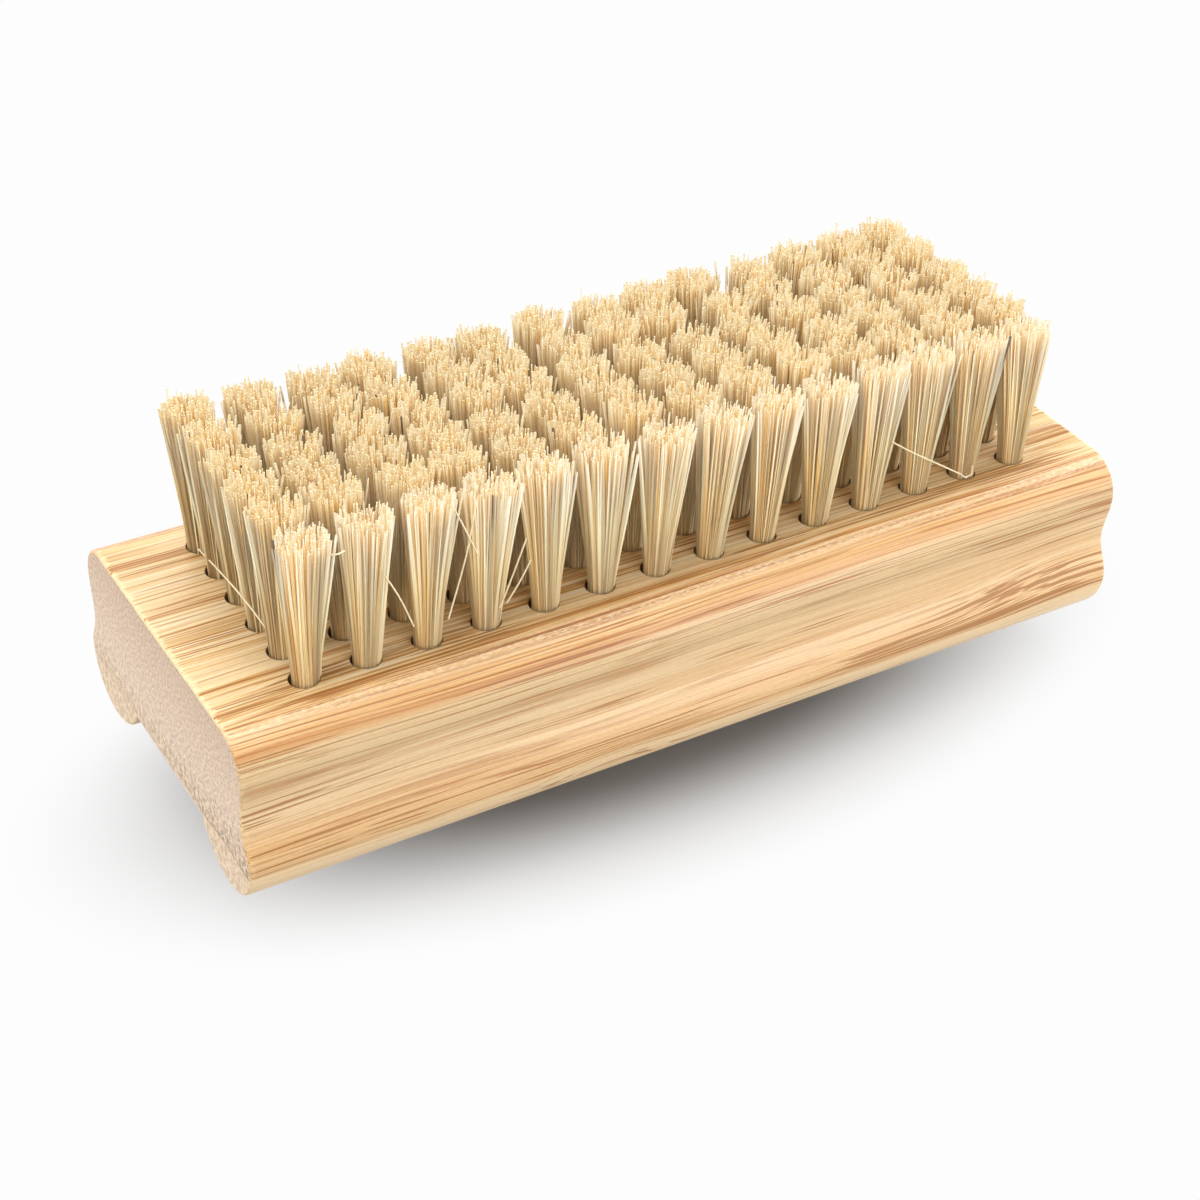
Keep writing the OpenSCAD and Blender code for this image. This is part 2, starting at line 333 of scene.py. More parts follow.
def bamboo_grain_group():
    """Fibre bundles that run along X, in layers, from a place in millimetres."""
    tree, given, result = new_tree(
        "bamboo_grain", "ShaderNodeTree",
        [("Place", "NodeSocketVector")],
        [("Bands", "NodeSocketFloat"), ("Lines", "NodeSocketFloat"),
         ("Streaks", "NodeSocketFloat"), ("Hairlines", "NodeSocketFloat"),
         ("Pores", "NodeSocketFloat"), ("Height", "NodeSocketFloat")])
    place = given.outputs["Place"]
    drift = place_node(tree, "ShaderNodeTexNoise", {
        "Vector": stretched(tree, place, (0.025, 0.10, 0.10)), "Scale": 1.0, "Detail": 1.0})
    sway = place_node(tree, "ShaderNodeVectorMath", {
        0: drift.outputs["Color"], 1: (0.5, 0.5, 0.5)}, operation="SUBTRACT")
    swayed = place_node(tree, "ShaderNodeVectorMath", {
        0: sway.outputs["Vector"], 1: (0.0, 1.3, 1.3), 2: place}, operation="MULTIPLY_ADD")
    knots = [knot_lift(tree, place, (44.0, -18.5, 12.8), (20.0, 7.0, 5.0), -1.3),
             knot_lift(tree, place, (-11.0, -18.5, 8.6), (9.0, 6.0, 2.2), -1.0),
             knot_lift(tree, place, (18.0, 18.0, 12.0), (12.0, 7.0, 3.0), -1.3)]
    lifted = place_node(tree, "ShaderNodeCombineXYZ", {
        "Z": maths(tree, "ADD", maths(tree, "ADD", knots[0], knots[1]), knots[2])})
    grain = place_node(tree, "ShaderNodeVectorMath", {
        0: swayed.outputs["Vector"], 1: lifted.outputs[0]}, operation="ADD").outputs["Vector"]
    bands = place_node(tree, "ShaderNodeTexNoise", {
        "Vector": stretched(tree, grain, (0.010, 0.55, 0.55)), "Scale": 1.0, "Detail": 1.0})
    lines = place_node(tree, "ShaderNodeTexNoise", {
        "Vector": stretched(tree, grain, (0.012, 2.1, 2.1)), "Scale": 1.0, "Detail": 2.0,
        "Roughness": 0.8})
    thin = place_node(tree, "ShaderNodeTexNoise", {
        "Vector": stretched(tree, grain, (0.040, 4.6, 4.6)), "Scale": 1.0, "Detail": 1.0,
        "Roughness": 0.5})
    crowd = place_node(tree, "ShaderNodeTexNoise", {
        "Vector": stretched(tree, grain, (0.03, 0.4, 0.4)), "Scale": 1.0, "Detail": 0.0})
    streaks = maths(tree, "MULTIPLY_ADD", crowd.outputs["Fac"], 0.35, thin.outputs["Fac"])
    pores = place_node(tree, "ShaderNodeTexNoise", {
        "Vector": stretched(tree, grain, (1.6, 7.0, 7.0)), "Scale": 1.0, "Detail": 2.0,
        "Roughness": 0.7})
    hairs = []
    for across, half in ((0.9, 0.026), (2.0, 0.045), (3.8, 0.060)):
        level = place_node(tree, "ShaderNodeTexNoise", {
            "Vector": stretched(tree, grain, (0.010, across, across)), "Scale": 1.0,
            "Detail": 0.0}).outputs["Fac"]
        off = maths(tree, "ABSOLUTE", maths(tree, "SUBTRACT", level, 0.5))
        hairs.append(ranged(tree, off, half * 0.3, half, 1.0, 0.0))
    gone = place_node(tree, "ShaderNodeTexNoise", {
        "Vector": stretched(tree, grain, (0.05, 1.2, 1.2)), "Scale": 1.0, "Detail": 1.0})
    finer = maths(tree, "MULTIPLY_ADD", hairs[2], 0.4, maths(tree, "MULTIPLY", hairs[1], 0.6))
    hair = maths(tree, "MULTIPLY", maths(tree, "ADD", finer, hairs[0], clamp=True),
                 ranged(tree, gone.outputs["Fac"], 0.36, 0.60))
    parts = place_node(tree, "ShaderNodeSeparateXYZ", {0: grain})
    tree.links.new(hair, result.inputs["Hairlines"])
    tree.links.new(bands.outputs["Fac"], result.inputs["Bands"])
    tree.links.new(lines.outputs["Fac"], result.inputs["Lines"])
    tree.links.new(streaks, result.inputs["Streaks"])
    tree.links.new(pores.outputs["Fac"], result.inputs["Pores"])
    tree.links.new(parts.outputs["Z"], result.inputs["Height"])
    return tree


bamboo_grain = bamboo_grain_group()


def new_material(name):
    material = bpy.data.materials.new(name)
    material.use_nodes = True
    tree = material.node_tree
    return material, tree, tree.nodes["Principled BSDF"]


def grain_in(tree):
    """The bamboo grain at the piece's own place, in millimetres."""
    here = place_node(tree, "ShaderNodeTexCoord").outputs["Object"]
    place = stretched(tree, here, (1 / MM, 1 / MM, 1 / MM))
    made = place_node(tree, "ShaderNodeGroup", {"Place": place}, node_tree=bamboo_grain)
    return place, made


def layer(tree, height, low, high, soft, share):
    """A share of colour between two heights, with soft limits."""
    rise = ranged(tree, height, low - soft, low + soft, 0.0, share)
    fall = ranged(tree, height, high - soft, high + soft, 1.0, 0.0)
    return maths(tree, "MULTIPLY", rise, fall)


def long_grain_material():
    """Lines and streaks that follow the layers of the strip. Heights are in millimetres."""
    material, tree, surface = new_material("bamboo_long_grain")
    place, grain = grain_in(tree)
    height = grain.outputs["Height"]
    plain = tone_scale(tree, grain.outputs["Bands"], [
        (0.30, shade(224, 184, 132)), (0.50, shade(232, 198, 150)),
        (0.70, shade(240, 212, 168))])
    soft_lines = ranged(tree, grain.outputs["Lines"], 0.34, 0.50, 0.6, 0.0)
    wood = blend_colours(tree, soft_lines, plain, shade(208, 160, 104))

    # The upper layer, on top and round the long edges, is closely lined, and the side is plainer
    lined = tone_scale(tree, grain.outputs["Lines"], [
        (0.33, shade(164, 104, 46)), (0.39, shade(198, 144, 78)),
        (0.43, shade(220, 176, 114)), (0.47, shade(226, 186, 126)),
        (0.50, shade(236, 204, 148)), (0.58, shade(239, 209, 157)),
        (0.62, shade(247, 227, 188))])
    wood = blend_colours(tree, ranged(tree, height, 21.5, 22.2, 0.0, 0.95), wood, lined)
    wood = blend_colours(tree, layer(tree, height, 17.7, 20.9, 0.25, 0.5), wood,
                         shade(202, 172, 124))
    wood = blend_colours(tree, layer(tree, height, 9.5, 12.6, 0.5, 0.45), wood,
                         shade(218, 170, 108))
    wavy = maths(tree, "MULTIPLY_ADD", grain.outputs["Bands"], 1.4, height)
    for low, high, share, colour in ((23.34, 23.40, 0.8, shade(250, 230, 194)),
                                     (23.14, 23.20, 0.8, shade(172, 108, 50)),
                                     (22.88, 22.96, 0.8, shade(178, 116, 56)),
                                     (22.77, 22.86, 0.9, shade(250, 230, 192)),
                                     (22.42, 22.52, 0.8, shade(176, 112, 52)),
                                     (22.12, 22.18, 0.7, shade(184, 122, 62)),
                                     (21.70, 21.80, 0.75, shade(186, 130, 70)),
                                     (21.2, 21.3, 0.85, shade(156, 114, 66)),
                                     (20.5, 20.6, 0.65, shade(166, 130, 84)),
                                     (19.4, 19.52, 0.75, shade(150, 118, 78)),
                                     (18.5, 18.56, 0.55, shade(166, 128, 82))):
        wood = blend_colours(tree, layer(tree, wavy, low, high, 0.035, share), wood, colour)
    wood = blend_colours(tree, ranged(tree, height, 9.3, 9.6, 0.5, 0.0), wood,
                         shade(234, 206, 162))

    # Hairlines, pale lines and dark streaks, each with its own share by height
    top_share = ranged(tree, height, 21.0, 21.9, 0.0, 0.7)
    side_share = maths(tree, "ADD", layer(tree, height, 9.3, 21.4, 0.3, 0.5),
                       layer(tree, height, 9.4, 12.6, 0.3, 0.4))
    hair = maths(tree, "MULTIPLY", grain.outputs["Hairlines"],
                 maths(tree, "ADD", top_share, side_share))
    wood = blend_colours(tree, hair, wood, shade(176, 114, 56))
    pale = maths(tree, "MULTIPLY", ranged(tree, grain.outputs["Streaks"], 0.54, 0.60, 0.5, 0.0),
                 ranged(tree, height, 21.2, 21.8, 0.15, 1.0))
    wood = blend_colours(tree, pale, wood, shade(247, 221, 174))

    busy = layer(tree, height, 9.4, 12.4, 0.4, 0.13)
    calm = layer(tree, height, 13.0, 17.5, 0.4, 0.055)
    upper = layer(tree, height, 17.9, 21.0, 0.4, 0.07)
    brisk = ranged(tree, height, 21.2, 21.8, 0.0, 0.05)
    level = maths(tree, "ADD", maths(tree, "ADD", grain.outputs["Streaks"], busy),
                  maths(tree, "ADD", calm, maths(tree, "ADD", upper, brisk)))
    streak = ranged(tree, level, 0.84, 0.905, 0.0, 0.9)
    wood = blend_colours(tree, streak, wood, shade(168, 112, 56))

    # Pores, a pale strip along the top of the cut ends, painted shade and painted glints on the
    # rounded long edges, and the dark walls of the holes, partly painted shade
    fine = ranged(tree, grain.outputs["Pores"], 0.35, 0.65, 0.94, 1.03)
    wood = blend_colours(tree, 1.0, wood, place_node(
        tree, "ShaderNodeCombineColor", {0: fine, 1: fine, 2: fine}).outputs[0], "MULTIPLY")
    here = place_node(tree, "ShaderNodeSeparateXYZ", {0: place}).outputs
    along = maths(tree, "ABSOLUTE", here["X"])
    width = maths(tree, "ABSOLUTE", here["Y"])
    edge = maths(tree, "MULTIPLY_ADD", grain.outputs["Lines"], 2.6, along)
    limit = half_length / MM
    # A pale strip along the top edge of each cut end.
    pale_end_strip = maths(tree, "MULTIPLY", ranged(tree, edge, limit + 0.85, limit + 1.05, 0.0, 0.8),
                   ranged(tree, height, 22.3, 22.8, 0.2, 1.0))
    wood = blend_colours(tree, pale_end_strip, wood, shade(246, 216, 168))

    glint_noise = place_node(tree, "ShaderNodeTexNoise", {
        "Vector": stretched(tree, place, (1.7, 7.0, 7.0)), "Scale": 1.0, "Detail": 2.0,
        "Roughness": 0.6})
    # Painted shade: the rounded long edges are darkened because the lamps light them more fully
    # than the top.
    turned = maths(tree, "MULTIPLY", ranged(tree, width, 13.2, 15.6, 0.0, 0.8),
                   ranged(tree, height, 20.8, 21.4))
    wood = blend_colours(tree, turned, wood, shade(236, 214, 190), "MULTIPLY")
    # Painted highlight: pale dashes in a band along each rounded long edge stand in for a lamp's
    # glint there. They are not wear.
    wavy_width = maths(tree, "MULTIPLY_ADD", grain.outputs["Lines"], 2.0, width)
    worn = maths(tree, "MULTIPLY", layer(tree, wavy_width, 16.0, 16.9, 0.4, 1.0),
                 ranged(tree, height, 21.5, 22.3))
    painted_edge_glints = maths(tree, "MULTIPLY", worn, ranged(
        tree, glint_noise.outputs["Fac"], 0.42, 0.66, 0.1, 0.6))
    wood = blend_colours(tree, painted_edge_glints, wood, shade(252, 234, 202))
    # Painted shade: the walls of the holes are painted dark brown. Drilled bamboo is a little
    # darker there, and the rest stands in for the shade inside the holes.
    hole_shade_height = layer(tree, here["Z"], recess_z / MM + 0.1, top_z / MM - 0.06, 0.03, 0.85)
    painted_hole_shade = maths(tree, "MULTIPLY", hole_shade_height,
                  maths(tree, "MULTIPLY", ranged(tree, width, 14.0, 14.1, 1.0, 0.0),
                        ranged(tree, along, 43.0, 43.1, 1.0, 0.0)))
    wood = blend_colours(tree, painted_hole_shade, wood, shade(92, 62, 36))
    tree.links.new(wood, surface.inputs["Base Color"])
    rough = ranged(tree, grain.outputs["Pores"], 0.3, 0.7, 0.36, 0.50)
    tree.links.new(rough, surface.inputs["Roughness"])
    relief = maths(tree, "MULTIPLY_ADD", grain.outputs["Lines"], 0.5,
                   maths(tree, "MULTIPLY", grain.outputs["Pores"], 0.5))
    bump = place_node(tree, "ShaderNodeBump", {
        "Height": relief, "Strength": 0.5, "Distance": 0.15 * MM})
    tree.links.new(bump.outputs["Normal"], surface.inputs["Normal"])
    return material


def end_grain_material():
    """Cut ends of the fibre bundles: coarse and brown low down, fine and grey by the top."""
    material, tree, surface = new_material("bamboo_end_grain")
    place, grain = grain_in(tree)
    height = grain.outputs["Height"]
    ground = tone_scale(tree, ranged(tree, height, 5.0, 23.0), [
        (0.0, shade(238, 214, 184)), (0.22, shade(234, 210, 180)),
        (0.24, shade(228, 204, 176)), (0.42, shade(236, 214, 190)),
        (0.7, shade(228, 204, 180)), (1.0, shade(216, 190, 166))])
    fine_dots = place_node(tree, "ShaderNodeTexNoise", {
        "Vector": stretched(tree, place, (0.0, 2.8, 2.8)), "Scale": 1.0, "Detail": 3.0,
        "Roughness": 0.75})
    coarse_dots = place_node(tree, "ShaderNodeTexNoise", {
        "Vector": stretched(tree, place, (0.0, 1.9, 1.5)), "Scale": 1.0, "Detail": 3.0,
        "Roughness": 0.7, "Distortion": 0.4})
    low_down = ranged(tree, height, 10.0, 15.5, 1.0, 0.0)
    level = blend_colours(tree, low_down, fine_dots.outputs["Color"],
                          coarse_dots.outputs["Color"])
    level = place_node(tree, "ShaderNodeSeparateColor", {0: level}).outputs[0]
    front = ranged(tree, place_node(tree, "ShaderNodeSeparateXYZ", {0: place}).outputs["Y"],
                   -16.0, 6.0, 1.0, 0.25)
    strength = maths(tree, "MULTIPLY_ADD", maths(tree, "MULTIPLY", low_down, ranged(
        tree, height, 9.1, 9.3)), maths(tree, "MULTIPLY", front, 0.35), 0.45)
    dots = maths(tree, "MULTIPLY", ranged(tree, level, 0.40, 0.58, 1.0, 0.0), strength)
    cut = blend_colours(tree, dots, ground, shade(132, 108, 90))
    seam = maths(tree, "MULTIPLY", layer(tree, height, 9.05, 9.25, 0.08, 1.0),
                 ranged(tree, front, 0.45, 0.9, 0.0, 0.6))
    cut = blend_colours(tree, seam, cut, shade(140, 110, 86))
    tree.links.new(cut, surface.inputs["Base Color"])
    surface.inputs["Roughness"].default_value = 0.8
    bump = place_node(tree, "ShaderNodeBump", {
        "Height": level, "Strength": 0.5, "Distance": 0.1 * MM})
    tree.links.new(bump.outputs["Normal"], surface.inputs["Normal"])
    return material


block.data.materials.clear()
block.data.materials.append(long_grain_material())
block.data.materials.append(end_grain_material())
square_on = 0.9999
for face in block.data.polygons:
    face.use_smooth = max(abs(part) for part in face.normal) <= square_on
    face.material_index = 1 if abs(face.normal.x) > square_on else 0
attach(block, "root")
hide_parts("block")

# The tufts
# Bundles of split plant fibre, folded over a flat wire anchor and driven into the holes, then
# trimmed level. They leave each hole as a tight round bundle and spread towards the tips.

fibre_radius = 0.104 * MM
root_radius = 1.13 * MM
fibre_pieces = 5
golden_turn = 2.399963
full_turn = 6.283
half_turn = 3.14159
number_step = 997.0


def tuft_tree(material):
    """A row of tufts. Each fibre runs from the floor of its hole to the trimmed tips."""
    tree, given, result = new_tree(
        "tuft_row", "GeometryNodeTree",
        [("Row", "NodeSocketGeometry"), ("Tufts", "NodeSocketInt"),
         ("Pitch", "NodeSocketFloat"), ("Row Place", "NodeSocketFloat"),
         ("Fibres", "NodeSocketInt"), ("Pieces", "NodeSocketInt"),
         ("Fibre Radius", "NodeSocketFloat"), ("Root Radius", "NodeSocketFloat"),
         ("Tip Width", "NodeSocketFloat"), ("Tip Depth", "NodeSocketFloat"),
         ("Floor Height", "NodeSocketFloat"), ("Mouth Height", "NodeSocketFloat"),
         ("Tip Height", "NodeSocketFloat"), ("Longer", "NodeSocketFloat"),
         ("Shorter", "NodeSocketFloat"), ("Seed", "NodeSocketInt")],
        [("Row", "NodeSocketGeometry")])
    get = given.outputs

    def random_number(low, high, identity, offset):
        seed = maths(tree, "ADD", get["Seed"], float(offset))
        return out_of(place_node(tree, "FunctionNodeRandomValue", {
            "Min": low, "Max": high, "ID": identity, "Seed": seed}, data_type="FLOAT"))

    gaps = maths(tree, "SUBTRACT", get["Tufts"], 1.0)
    first = maths(tree, "MULTIPLY", maths(tree, "MULTIPLY", gaps, get["Pitch"]), -0.5)
    start = place_node(tree, "ShaderNodeCombineXYZ", {"X": first, "Y": get["Row Place"]})
    step = place_node(tree, "ShaderNodeCombineXYZ", {"X": get["Pitch"]})
    centres = place_node(tree, "GeometryNodeMeshLine", {
        "Count": get["Tufts"], "Start Location": start.outputs[0], "Offset": step.outputs[0]})
    tuft_number = place_node(tree, "GeometryNodeInputIndex").outputs[0]
    kept = place_node(tree, "GeometryNodeCaptureAttribute")
    kept.capture_items.new("INT", "Tuft")
    tree.links.new(centres.outputs[0], kept.inputs["Geometry"])
    tree.links.new(tuft_number, kept.inputs["Tuft"])
    tuft = kept.outputs["Tuft"]
    many = place_node(tree, "GeometryNodeDuplicateElements", {
        "Geometry": kept.outputs["Geometry"], "Amount": get["Fibres"]}, domain="POINT")
    number = many.outputs["Duplicate Index"]
    fibre = maths(tree, "MULTIPLY_ADD", tuft, number_step, number)

    turn = maths(tree, "MULTIPLY_ADD", number, golden_turn,
                 random_number(0.0, full_turn, tuft, 1))
    ring = maths(tree, "POWER", maths(tree, "DIVIDE", maths(tree, "ADD", number, 0.5),
                                      get["Fibres"]), 0.45)
    unit_x = maths(tree, "MULTIPLY", ring, maths(tree, "COSINE", turn))
    unit_y = maths(tree, "MULTIPLY", ring, maths(tree, "SINE", turn))

    straight = place_node(tree, "GeometryNodeCurvePrimitiveLine", {
        "Start": (0.0, 0.0, 0.0), "End": (0.0, 0.0, 1 * MM)})
    joints = maths(tree, "ADD", get["Pieces"], 1.0)
    pieces = place_node(tree, "GeometryNodeResampleCurve", {
        "Curve": straight.outputs[0], "Count": joints})
    fibres = place_node(tree, "GeometryNodeInstanceOnPoints", {
        "Points": many.outputs["Geometry"], "Instance": pieces.outputs[0]})
    real = place_node(tree, "GeometryNodeRealizeInstances", {"Geometry": fibres.outputs[0]})

    joint = place_node(tree, "GeometryNodeSplineParameter").outputs["Index"]
    above = maths(tree, "DIVIDE", maths(tree, "SUBTRACT", joint, 1.0),
                  maths(tree, "SUBTRACT", get["Pieces"], 1.0))
    along = maths(tree, "MAXIMUM", above, 0.0)
    in_hole = maths(tree, "LESS_THAN", joint, 0.5)
    spread = maths(tree, "POWER", along, 1.12)

    lean_x = random_number(-0.55 * MM, 0.55 * MM, tuft, 2)
    lean_y = random_number(-0.40 * MM, 0.40 * MM, tuft, 3)
    clump_place = place_node(tree, "ShaderNodeCombineXYZ", {
        "X": maths(tree, "MULTIPLY", unit_x, 2.3), "Y": maths(tree, "MULTIPLY", unit_y, 2.3),
        "Z": maths(tree, "MULTIPLY", tuft, 7.3)})
    clump = place_node(tree, "ShaderNodeTexNoise", {
        "Vector": clump_place.outputs[0], "Scale": 1.0, "Detail": 1.0})
    clump_parts = place_node(tree, "ShaderNodeSeparateXYZ", {0: clump.outputs["Color"]})

    few = maths(tree, "POWER", random_number(0.0, 1.0, fibre, 70), 16.0)
    wild = maths(tree, "MULTIPLY_ADD", few, 0.45, 1.0)

    def sideways(unit, tip_size, lean, clump_share, clump_size, offset, slack):
        """How far a fibre is from the middle of its hole, along one axis."""
        root = maths(tree, "MULTIPLY_ADD", unit, get["Root Radius"],
                     random_number(slack[0] * MM, slack[1] * MM, tuft, offset + 5))
        reach = maths(tree, "MULTIPLY", maths(tree, "MULTIPLY", unit, get[tip_size]), 0.5)
        bunch = maths(tree, "MULTIPLY", maths(tree, "SUBTRACT", clump_share, 0.5), clump_size)
        stray = random_number(-0.22 * MM, 0.22 * MM, fibre, offset)
        reach = maths(tree, "MULTIPLY", reach, wild)
        tip = maths(tree, "ADD", maths(tree, "ADD", reach, bunch),
                    maths(tree, "ADD", stray, lean))
        way = maths(tree, "MULTIPLY", maths(tree, "SUBTRACT", tip, root), spread)
        arch = maths(tree, "SINE", maths(tree, "MULTIPLY", along, half_turn))
        bow = maths(tree, "MULTIPLY", arch,
                    random_number(-0.10 * MM, 0.10 * MM, fibre, offset + 1))
        return maths(tree, "ADD", maths(tree, "ADD", root, way), bow)

    off_x = sideways(unit_x, "Tip Width", lean_x, clump_parts.outputs["X"], 1.5 * MM, 10,
                     (0.10, 0.27))
    off_y = sideways(unit_y, "Tip Depth", lean_y, clump_parts.outputs["Y"], 1.3 * MM, 20,
                     (0.00, 0.16))
    tall = maths(tree, "POWER", random_number(0.0, 1.0, fibre, 33), 14.0)
    proud = maths(tree, "MULTIPLY", tall, 0.3)
    uneven = maths(tree, "MULTIPLY_ADD", random_number(0.0, 1.0, tuft, 31), 0.2,
                   maths(tree, "ADD", random_number(0.0, 0.5, fibre, 30), proud))
    play = maths(tree, "ADD", get["Longer"], get["Shorter"])
    extra = maths(tree, "SUBTRACT", maths(tree, "MULTIPLY", uneven, play), get["Shorter"])
    way_up = maths(tree, "SIGN", maths(tree, "SUBTRACT", get["Tip Height"], get["Mouth Height"]))
    tip_at = maths(tree, "MULTIPLY_ADD", extra, way_up, get["Tip Height"])
    rise = maths(tree, "SUBTRACT", tip_at, get["Mouth Height"])
    climb = maths(tree, "MULTIPLY_ADD", rise, along, get["Mouth Height"])
    sink = maths(tree, "MULTIPLY", in_hole,
                 maths(tree, "SUBTRACT", get["Floor Height"], get["Mouth Height"]))
    height = maths(tree, "ADD", climb, sink)

    here = place_node(tree, "GeometryNodeInputPosition").outputs[0]
    here_parts = place_node(tree, "ShaderNodeSeparateXYZ", {0: here})
    placed = place_node(tree, "ShaderNodeCombineXYZ", {
        "X": maths(tree, "ADD", here_parts.outputs["X"], off_x),
        "Y": maths(tree, "ADD", here_parts.outputs["Y"], off_y), "Z": height})
    shaped = place_node(tree, "GeometryNodeSetPosition", {
        "Geometry": real.outputs[0], "Position": placed.outputs[0]})
    faced = maths(tree, "ADD", turn, random_number(-0.6, 0.6, fibre, 40))
    outward = place_node(tree, "ShaderNodeCombineXYZ", {
        "X": maths(tree, "COSINE", faced), "Y": maths(tree, "SINE", faced)})
    turned = place_node(tree, "GeometryNodeSetCurveNormal", {
        "Curve": shaped.outputs[0], "Normal": outward.outputs[0]}, mode="FREE")

    clump_tone = maths(tree, "SUBTRACT", clump_parts.outputs["Z"], 0.5)
    together = maths(tree, "MULTIPLY", clump_tone, 1.7)
    tone = maths(tree, "ADD", maths(tree, "ADD", together, 0.5),
                 random_number(-0.17, 0.17, fibre, 50), clamp=True)
    is_dark = maths(tree, "GREATER_THAN", random_number(0.0, 1.0, fibre, 80), 0.994)
    tone = maths(tree, "MAXIMUM", tone, maths(tree, "MULTIPLY", is_dark, 1.03))
    stored = place_node(tree, "GeometryNodeCaptureAttribute")
    for item in ("Tone", "Along"):
        stored.capture_items.new("FLOAT", item)
    tree.links.new(turned.outputs[0], stored.inputs["Geometry"])
    tree.links.new(tone, stored.inputs["Tone"])
    tree.links.new(along, stored.inputs["Along"])

    sides = 4
    section = place_node(tree, "GeometryNodeCurvePrimitiveCircle", {
        "Resolution": sides, "Radius": 1.0})
    ribbon = place_node(tree, "GeometryNodeTransform", {
        "Geometry": section.outputs["Curve"], "Scale": (1.6, 0.75, 1.0)})
    round_about = place_node(tree, "GeometryNodeCaptureAttribute")
    round_about.capture_items.new("FLOAT", "Around")
    tree.links.new(ribbon.outputs[0], round_about.inputs["Geometry"])
    corner = place_node(tree, "GeometryNodeInputIndex").outputs[0]
    tree.links.new(maths(tree, "DIVIDE", corner, float(sides)), round_about.inputs["Around"])
    taper = maths(tree, "MULTIPLY", maths(tree, "POWER", along, 8.0), 0.3)
    worn = maths(tree, "SUBTRACT", 1.0, taper)
    thick = maths(tree, "MULTIPLY", maths(tree, "MULTIPLY", get["Fibre Radius"], worn),
                  random_number(0.7, 1.3, fibre, 60))
    solid = place_node(tree, "GeometryNodeCurveToMesh", {
        "Curve": stored.outputs["Geometry"], "Profile Curve": round_about.outputs["Geometry"],
        "Scale": thick, "Fill Caps": True})
    across = maths(tree, "MULTIPLY_ADD", round_about.outputs["Around"], 0.012,
                   maths(tree, "MULTIPLY", stored.outputs["Tone"], 0.94))
    chart = place_node(tree, "ShaderNodeCombineXYZ", {
        "X": across, "Y": stored.outputs["Along"]})
    mapped = place_node(tree, "GeometryNodeStoreNamedAttribute", {
        "Geometry": solid.outputs[0], "Name": "OFBake"}, data_type="FLOAT2", domain="CORNER")
    value = next(s for s in mapped.inputs if s.name == "Value" and s.enabled)
    tree.links.new(chart.outputs[0], value)
    crisp = place_node(tree, "GeometryNodeSetShadeSmooth", {
        "Geometry": mapped.outputs[0], "Shade Smooth": False})
    final = place_node(tree, "GeometryNodeRealizeInstances", {"Geometry": crisp.outputs[0]})
    dressed = place_node(tree, "GeometryNodeSetMaterial", {
        "Geometry": final.outputs[0], "Material": material})
    tree.links.new(dressed.outputs[0], result.inputs["Row"])
    return tree


